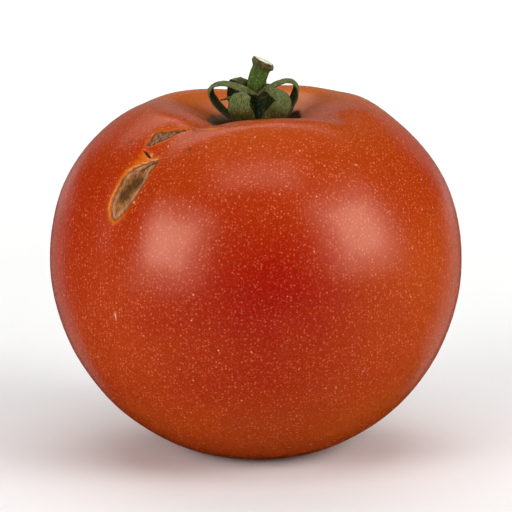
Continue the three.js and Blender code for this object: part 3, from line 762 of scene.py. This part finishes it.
def make_sepal(name, rows, seed, material):
    S = catmull(rows, 12)
    n = len(S)
    C = S[:, :3]
    # a slight wander so that no blade is a perfect arc
    run = np.concatenate([[0], np.cumsum(np.linalg.norm(np.diff(C, axis=0), axis=1))])
    s01 = run / run[-1]
    line = np.stack([run, np.full(n, 3.7 * seed), np.zeros(n)], 1)
    ease = sst(0.12, 0.35, s01)[:, None]
    C = C + ease * 0.14 * np.stack([noise(line, 3.1, seed), noise(line, 3.1, seed + 1), noise(line, 3.1, seed + 2)], 1)
    T = np.gradient(C, axis=0)
    T /= np.linalg.norm(T, axis=1, keepdims=True)
    A = S[:, 3:6] - (S[:, 3:6] * T).sum(1, keepdims=True) * T
    A /= np.linalg.norm(A, axis=1, keepdims=True)
    N = np.cross(T, A)
    W = np.maximum(S[:, 6], 0.15) / 2
    m = 17
    v = np.sin(np.linspace(-np.pi / 2, np.pi / 2, m))
    back = name.startswith("sepal_back")
    rings, grain, shade, painted_bounce_and_shade, inner, brown = [], [], [], [], [], []
    for i in range(n):
        w = W[i]
        f = min(1.0, w / 1.2)
        left = w * (1 + 0.07 * noise(np.array([run[i], 1.3, seed * 2.1]), 1.4, 71))
        right = w * (1 + 0.07 * noise(np.array([run[i], 8.3, seed * 2.1]), 1.4, 72))
        x = np.where(v < 0, v * left, v * right)
        P = np.stack([x, np.full(m, run[i]), np.full(m, seed * 5.0)], 1)
        lift = 0.42 * f * np.abs(v) ** 2.2 + 0.10 * f * noise(P * [1.0, 0.35, 1.0], 0.8, 73) + 0.05 * f * noise(P, 0.5, 74)
        half = 0.5 * (0.26 + 0.16 * f) * (1 - 0.45 * v ** 2)
        keel = 0.20 * f * bell(x / 0.28) + 0.06 * f * (bell((np.abs(x) - 0.5 * w) / 0.16))
        up = lift + half - 0.10 * f * bell(x / 0.30)
        dn = lift - half - keel
        lower = C[i] + x[:, None] * A[i] + dn[:, None] * N[i]
        upper = C[i] + x[::-1, None] * A[i] + up[::-1, None] * N[i]
        rings.append(np.concatenate([lower, upper]))
        grain.append(np.concatenate([np.stack([x, np.full(m, run[i]), np.zeros(m) + seed], 1),
                                     np.stack([x[::-1], np.full(m, run[i]), np.zeros(m) + seed + 9], 1)]))
        # painted shade and painted red bounce light on the lower part of each blade
        painted_bounce_and_shade.append(np.full(2 * m, float(sst(0.49, 0.36, s01[i]))))
        inner.append(np.concatenate([np.zeros(m), np.ones(m)]))
        edge = np.concatenate([sst(0.80, 1.0, np.abs(v)), sst(0.86, 1.0, np.abs(v[::-1]))])
        tip = float(sst(0.80, 0.97, s01[i]))
        brown.append(np.clip(0.30 * edge + (0.15 if back else 0.75) * tip, 0, 1))
        shade.append(np.full(2 * m, (0.95 if back else 0.0) * float(sst(0.52, 0.30, s01[i]))))
    q = 2 * m
    verts = np.concatenate(rings + [C[:1], C[-1:]])
    faces = []
    j = np.arange(q)
    k = (j + 1) % q
    for i in range(n - 1):
        a = i * q
        faces.append(np.stack([a + j, a + k, a + q + k, a + q + j], 1))
    quads = np.concatenate(faces)
    e0, e1 = n * q, n * q + 1
    l = (n - 1) * q
    faces = [f for f in quads] + [np.array([e0, b, a]) for a, b in zip(j, k)] + [np.array([e1, l + a, l + b]) for a, b in zip(j, k)]
    ends = lambda x: np.concatenate([np.concatenate(x), [x[0][0], x[-1][0]]])
    G = np.concatenate([np.concatenate(grain), [grain[0][0], grain[-1][0]]])
    attrs = {"grain": G, "painted_bounce_and_shade": ends(painted_bounce_and_shade), "inner": ends(inner), "brown": ends(brown), "shade": ends(shade)}
    return build("tomato_" + name, verts, faces, attrs, stands_for=(name,), material=material)


STEM = [  # x, z, lean, radius
    (0.00, 70.40, 0, 1.9), (0.00, 70.60, 0, 2.7), (0.00, 70.90, 0, 3.0), (0.00, 71.4, 0, 2.75), (0.00, 72.0, 0, 2.25),
    (0.02, 73.0, 0, 1.95), (0.05, 74.5, 0, 1.88), (0.08, 76.0, 1, 1.93), (0.12, 78.0, 4, 1.97),
    (0.28, 79.6, 10, 1.95), (0.52, 80.7, 15, 1.90), (0.78, 81.5, 18, 1.87),
    (1.02, 82.15, 21, 1.88), (1.20, 82.62, 23, 1.98), (1.34, 83.00, 25, 2.30), (1.46, 83.36, 26, 2.44),
    (1.60, 83.80, 26, 2.40), (1.72, 84.06, 26, 2.24),
]


def make_stem():
    S = catmull(STEM, 9)
    n, cols = len(S), 72
    run = np.concatenate([[0], np.cumsum(np.hypot(np.diff(S[:, 0]), np.diff(S[:, 1])))])
    a = np.linspace(0, 2 * np.pi, cols, endpoint=False)
    rings, grain, brown, cut, ringa, stem_painted_shade = [], [], [], [], [], []

    def place(x, z, lean, rr):
        c, s = math.cos(rad(lean)), math.sin(rad(lean))
        u, w = rr * np.cos(a), rr * np.sin(a)
        return np.stack([x + u * c, w, z - u * s], 1)

    for i in range(n):
        x, z, lean, r = S[i]
        P = np.stack([np.cos(a) * 2, np.sin(a) * 2, np.full(cols, run[i])], 1)
        ribs = 0.05 * np.cos(5 * a + 0.6) + 0.035 * np.cos(9 * a + 1.1)
        body = float(sst(72.0, 74.0, z))
        collar = float(sst(82.5, 83.3, z))
        rr = r * (1 + body * (1 - collar) * ribs) + 0.07 * noise(P, 1.1, 81) + 0.03 * noise(P, 0.45, 82)
        rr = rr + collar * (0.17 * noise(P, 0.9, 83) + 0.20 * bell(wrap(a - 0.15) / 0.6) * bell((z - 83.4) / 0.5))
        R = place(x, z, lean, rr)
        R[:, 2] += collar * (0.12 * noise(P, 1.3, 84) - 0.30 * bell(wrap(a - 0.1) / 0.7) * bell((z - 83.2) / 0.4))
        rings.append(R)
        grain.append(np.stack([a * 2, np.full(cols, run[i]), np.zeros(cols)], 1))
        brown.append(np.clip(sst(82.3, 83.1, z + 0.35 * noise(P, 0.8, 85)) * 0.95 + 0.5 * sst(71.6, 71.0, z), 0, 1) + 0 * a)
        # painted shade on the low stem inside the hollow
        stem_painted_shade.append(np.full(cols, float(sst(77.4, 76.2, z))))
        cut.append(np.zeros(cols))
        ringa.append(np.zeros(cols))
    # the cut face, slightly dished, with a ring of strands
    x, z, lean, r = S[-1]
    nx, nz = math.sin(rad(lean)), math.cos(rad(lean))
    edge = rings[-1]
    centre = np.array([x, 0, z])
    for f, dip, c in ((0.93, 0.03, 0.35), (0.86, -0.05, 1), (0.76, -0.10, 1), (0.66, -0.10, 1), (0.56, -0.12, 1), (0.45, -0.14, 1), (0.33, -0.16, 1), (0.2, -0.17, 1), (0.08, -0.18, 1)):
        R = centre + (edge - centre) * f
        P = R * 1.0
        bundle = (f in (0.66, 0.56)) * (0.5 + 0.5 * np.cos(13 * a + 0.7))
        d = dip + 0.05 * noise(P, 0.5, 86) + 0.06 * bundle
        R = R + d[:, None] * np.array([nx, 0, nz])
        rings.append(R)
        grain.append(np.stack([a * 2, np.full(cols, run[-1] + 1 - f), np.zeros(cols)], 1))
        brown.append(np.full(cols, 1.0 - c) * 0.9)
        cut.append(np.full(cols, float(c)))
        ringa.append(np.clip(bundle * 1.1, 0, 1) * 0.8)
        stem_painted_shade.append(np.zeros(cols))
    m = len(rings)
    verts = np.concatenate(rings + [np.array([[0, 0, S[0, 1]]]), centre[None] + np.array([[nx, 0, nz]]) * -0.18])
    j = np.arange(cols)
    k = (j + 1) % cols
    quads = np.concatenate([np.stack([i * cols + j, i * cols + k, (i + 1) * cols + k, (i + 1) * cols + j], 1) for i in range(m - 1)])
    l = (m - 1) * cols
    faces = [f for f in quads] + [np.array([m * cols, q, p]) for p, q in zip(j, k)] + [np.array([m * cols + 1, l + p, l + q]) for p, q in zip(j, k)]
    ends = lambda x: np.concatenate([np.concatenate(x), [x[0][0], x[-1][0]]])
    G = np.concatenate([np.concatenate(grain), [grain[0][0], grain[-1][0]]])
    attrs = {"grain": G, "brown": ends(brown), "cut": ends(cut), "ring": ends(ringa), "painted_bounce_and_shade": ends(cut) * 0, "inner": ends(stem_painted_shade), "shade": ends(cut) * 0}
    return build("tomato_stem", verts, faces, attrs, stands_for=("stem",),
                 material=leaf_material("stem_green", stem=True))


fruit = make_fruit()
stem = make_stem()
leaf = leaf_material("sepal_green")
for i, (name, rows) in enumerate(SEPALS.items()):
    make_sepal(name, rows, 101 + 13 * i, leaf)

# ------------------------------------------------------------------- stage
scene = bpy.context.scene
floor_mat = Nodes("pale_floor")
floor_mat.set(Base_Color=(0.90, 0.90, 0.895, 1.0), Roughness=0.9)
floor_mat.bsdf.inputs["Specular IOR Level"].default_value = 0.1
bpy.ops.mesh.primitive_plane_add(size=4, location=(0, 0, 0))
floor = bpy.context.object
floor.name = "floor"
floor.data.materials.append(floor_mat.mat)
floor.visible_glossy = False

world = bpy.data.worlds.new("studio")
scene.world = world
world.use_nodes = True
bg = world.node_tree.nodes["Background"]
bg.inputs[0].default_value = (1.0, 1.0, 1.0, 1.0)
bg.inputs[1].default_value = 0.85
world.cycles_visibility.diffuse = False
world.cycles_visibility.glossy = False

ELEVATION = rad(12.0)
TARGET = Vector((0.086, 0.0, 41.61)) * MM
BACK = Vector((0, -math.cos(ELEVATION), math.sin(ELEVATION)))
UP = Vector((0, math.sin(ELEVATION), math.cos(ELEVATION)))
RIGHT = Vector((1, 0, 0))


def softbox(name, direction, distance, size_x, size_y, watts, glossy=True):
    d = (RIGHT * direction[0] + UP * direction[1] + BACK * direction[2]).normalized()
    data = bpy.data.lights.new(name, "AREA")
    data.shape = "RECTANGLE"
    data.size, data.size_y = size_x, size_y
    data.energy = watts
    obj = bpy.data.objects.new(name, data)
    obj.location = TARGET + d * distance
    obj.rotation_euler = d.to_track_quat("Z", "Y").to_euler()
    obj.visible_camera = False
    obj.visible_glossy = glossy
    scene.collection.objects.link(obj)


softbox("left_heart", (-0.775, 0.16, 0.60), 0.9, 0.42, 0.42, 3.2)
softbox("left_wide", (-0.775, 0.16, 0.60), 0.92, 0.84, 0.84, 4.1)
softbox("right_heart", (0.844, 0.31, 0.428), 0.9, 0.42, 0.48, 3.2)
softbox("right_wide", (0.844, 0.31, 0.428), 0.92, 0.84, 0.90, 4.3)
softbox("soft_top", (0.03, 0.865, 0.50), 1.0, 0.80, 0.30, 1.75)
softbox("soft_above", (0.0, 0.978, -0.208), 1.6, 1.8, 1.8, 10.5, glossy=False)
softbox("soft_back", (0.0, 0.36, -0.93), 1.6, 2.0, 0.9, 1.35)
softbox("kick_left", (-0.38, 0.78, -0.50), 1.2, 0.60, 0.42, 0.62)
softbox("rim_left", (-0.55, -0.02, -0.83), 1.5, 0.75, 1.0, 0.65)
softbox("rim_right", (0.57, -0.05, -0.82), 1.5, 0.75, 0.9, 0.65)
softbox("soft_fill", (0.0, 0.10, 1.0), 1.8, 2.4, 2.4, 2.6, glossy=False)

# a wash over the floor behind the fruit
wash_data = bpy.data.lights.new("floor_wash", "AREA")
wash_data.shape = "RECTANGLE"
wash_data.size, wash_data.size_y = 2.4, 0.7
wash_data.energy = 9.0
wash_data.spread = rad(95)
wash = bpy.data.objects.new("floor_wash", wash_data)
wash.location = (0.0, 0.95, 1.0)
wash.visible_camera = False
scene.collection.objects.link(wash)

camera_data = bpy.data.cameras.new("camera")
camera = bpy.data.objects.new("camera", camera_data)
scene.collection.objects.link(camera)
camera_data.sensor_width = 36.0
camera_data.lens = 36.0 * 800.0 / 109.88
camera_data.clip_start, camera_data.clip_end = 0.01, 50.0
camera.location = TARGET + BACK * 0.8
camera.rotation_euler = BACK.to_track_quat("Z", "Y").to_euler()
scene.camera = camera
scene.view_settings.view_transform = "Standard"
scene.view_settings.look = "None"
scene.view_settings.exposure = 0.0
scene.view_settings.gamma = 1.0
